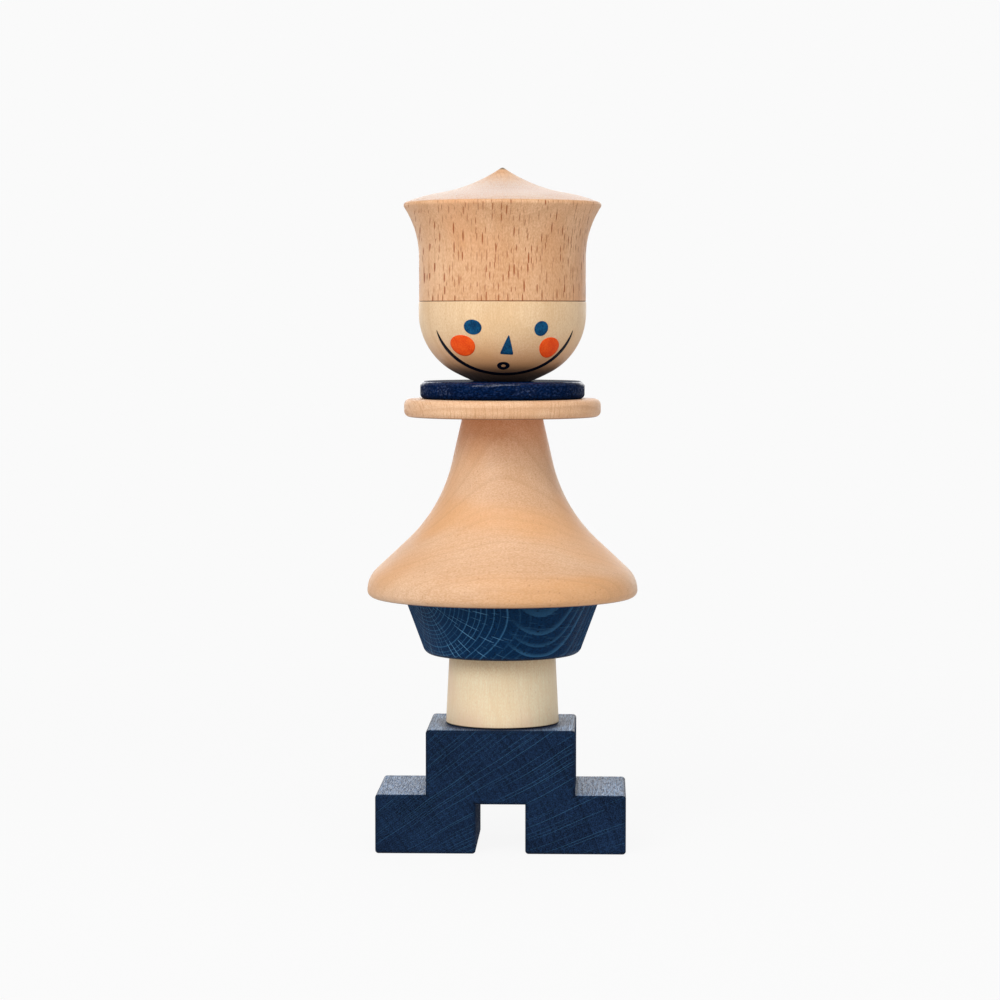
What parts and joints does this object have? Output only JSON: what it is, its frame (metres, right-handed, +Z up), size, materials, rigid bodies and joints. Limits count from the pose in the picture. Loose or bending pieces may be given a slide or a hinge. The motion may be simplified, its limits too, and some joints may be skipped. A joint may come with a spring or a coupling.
{
  "type": "wooden stacking figure",
  "caption": "Stacking figure of turned and milled wooden pieces held by hidden magnets: stepped feet, leg, hip, bell skirt, discs, round head with a printed face and a pointed hat.",
  "frame": {"origin": "on the ground, on the axis of the stack, midway between the feet", "axes": "+Z up along the axis of the stack, the face looks to -Y, +X to the right as seen from the front"},
  "size_m": [0.0662, 0.066, 0.1655],
  "materials": {
    "beech": "fine-sanded beech with short ray flecks, clear matte oil",
    "maple": "fine-sanded pale maple, clear matte oil",
    "blue_stain": "dark blue stained beech, open grain showing light blue, satin",
    "navy_gloss": "navy lacquered beech, glossy",
    "plug_wood": "sanded face-grain plug",
    "plug_stained": "stained face-grain plug",
    "magnet": "bright nickel plating",
    "ink_blue": "printed blue ink of the eyes and nose, soft sheen",
    "ink_orange": "printed orange ink of the cheeks, soft sheen",
    "ink_navy": "printed navy ink of the smile and mouth, soft sheen"
  },
  "bodies": {
    "feet_block": {"feet_block": "blue_stain", "feet_upper_magnet": "magnet", "feet_upper_plug": "plug_stained"},
    "leg_cone_magnet": {"leg_lower_magnet": "magnet"},
    "leg_cone": {"leg_cone": "maple", "leg_lower_plug": "plug_wood", "leg_upper_magnet": "magnet", "leg_upper_plug": "plug_wood"},
    "hip_bowl_magnet": {"hip_lower_magnet": "magnet"},
    "hip_bowl": {"hip_bowl": "blue_stain", "hip_lower_plug": "plug_stained", "hip_upper_magnet": "magnet", "hip_upper_plug": "plug_stained"},
    "skirt_magnet": {"skirt_lower_magnet": "magnet"},
    "skirt": {"skirt": "beech", "skirt_lower_plug": "plug_wood", "skirt_upper_magnet": "magnet", "skirt_upper_plug": "plug_wood"},
    "shoulder_disc_magnet": {"shoulder_lower_magnet": "magnet"},
    "shoulder_disc": {"shoulder_disc": "beech", "shoulder_lower_plug": "plug_wood"},
    "collar_disc_magnet": {"collar_lower_magnet": "magnet"},
    "collar_disc": {"collar_disc": "navy_gloss", "collar_lower_plug": "plug_stained"},
    "head_magnet": {"head_lower_magnet": "magnet"},
    "head": {"head": "maple", "head_lower_plug": "plug_wood", "head_upper_magnet": "magnet", "head_upper_plug": "plug_wood"},
    "hat_magnet": {"hat_lower_magnet": "magnet"},
    "hat": {"hat": "beech", "hat_lower_plug": "plug_wood"}
  },
  "joints": [
    {"name": "leg_cone_lift", "type": "slide", "parent": "feet_block", "child": "leg_cone_magnet", "axis": [0, 0, 1], "range_m": [0, 0.025], "stiffness_N_per_m": 20, "springref_m": -0.1},
    {"name": "leg_cone_turn", "type": "hinge", "parent": "leg_cone_magnet", "child": "leg_cone", "pos_m": [0, 0, 0.03], "axis": [0, 0, 1], "continuous": true},
    {"name": "hip_bowl_lift", "type": "slide", "parent": "leg_cone", "child": "hip_bowl_magnet", "axis": [0, 0, 1], "range_m": [0, 0.025], "stiffness_N_per_m": 20, "springref_m": -0.1},
    {"name": "hip_bowl_turn", "type": "hinge", "parent": "hip_bowl_magnet", "child": "hip_bowl", "pos_m": [0, 0, 0.047], "axis": [0, 0, 1], "continuous": true},
    {"name": "skirt_lift", "type": "slide", "parent": "hip_bowl", "child": "skirt_magnet", "axis": [0, 0, 1], "range_m": [0, 0.025], "stiffness_N_per_m": 20, "springref_m": -0.1},
    {"name": "skirt_turn", "type": "hinge", "parent": "skirt_magnet", "child": "skirt", "pos_m": [0, 0, 0.061], "axis": [0, 0, 1], "continuous": true},
    {"name": "shoulder_disc_lift", "type": "slide", "parent": "skirt", "child": "shoulder_disc_magnet", "axis": [0, 0, 1], "range_m": [0, 0.025], "stiffness_N_per_m": 20, "springref_m": -0.1},
    {"name": "shoulder_disc_turn", "type": "hinge", "parent": "shoulder_disc_magnet", "child": "shoulder_disc", "pos_m": [0, 0, 0.105], "axis": [0, 0, 1], "continuous": true},
    {"name": "collar_disc_lift", "type": "slide", "parent": "shoulder_disc", "child": "collar_disc_magnet", "axis": [0, 0, 1], "range_m": [0, 0.025], "stiffness_N_per_m": 20, "springref_m": -0.1},
    {"name": "collar_disc_turn", "type": "hinge", "parent": "collar_disc_magnet", "child": "collar_disc", "pos_m": [0, 0, 0.1094], "axis": [0, 0, 1], "continuous": true},
    {"name": "head_lift", "type": "slide", "parent": "collar_disc", "child": "head_magnet", "axis": [0, 0, 1], "range_m": [0, 0.025], "stiffness_N_per_m": 20, "springref_m": -0.1},
    {"name": "head_turn", "type": "hinge", "parent": "head_magnet", "child": "head", "pos_m": [0, 0, 0.1137], "axis": [0, 0, 1], "continuous": true},
    {"name": "hat_lift", "type": "slide", "parent": "head", "child": "hat_magnet", "axis": [0, 0, 1], "range_m": [0, 0.025], "stiffness_N_per_m": 20, "springref_m": -0.1},
    {"name": "hat_turn", "type": "hinge", "parent": "hat_magnet", "child": "hat", "pos_m": [0, 0, 0.133], "axis": [0, 0, 1], "continuous": true}
  ]
}
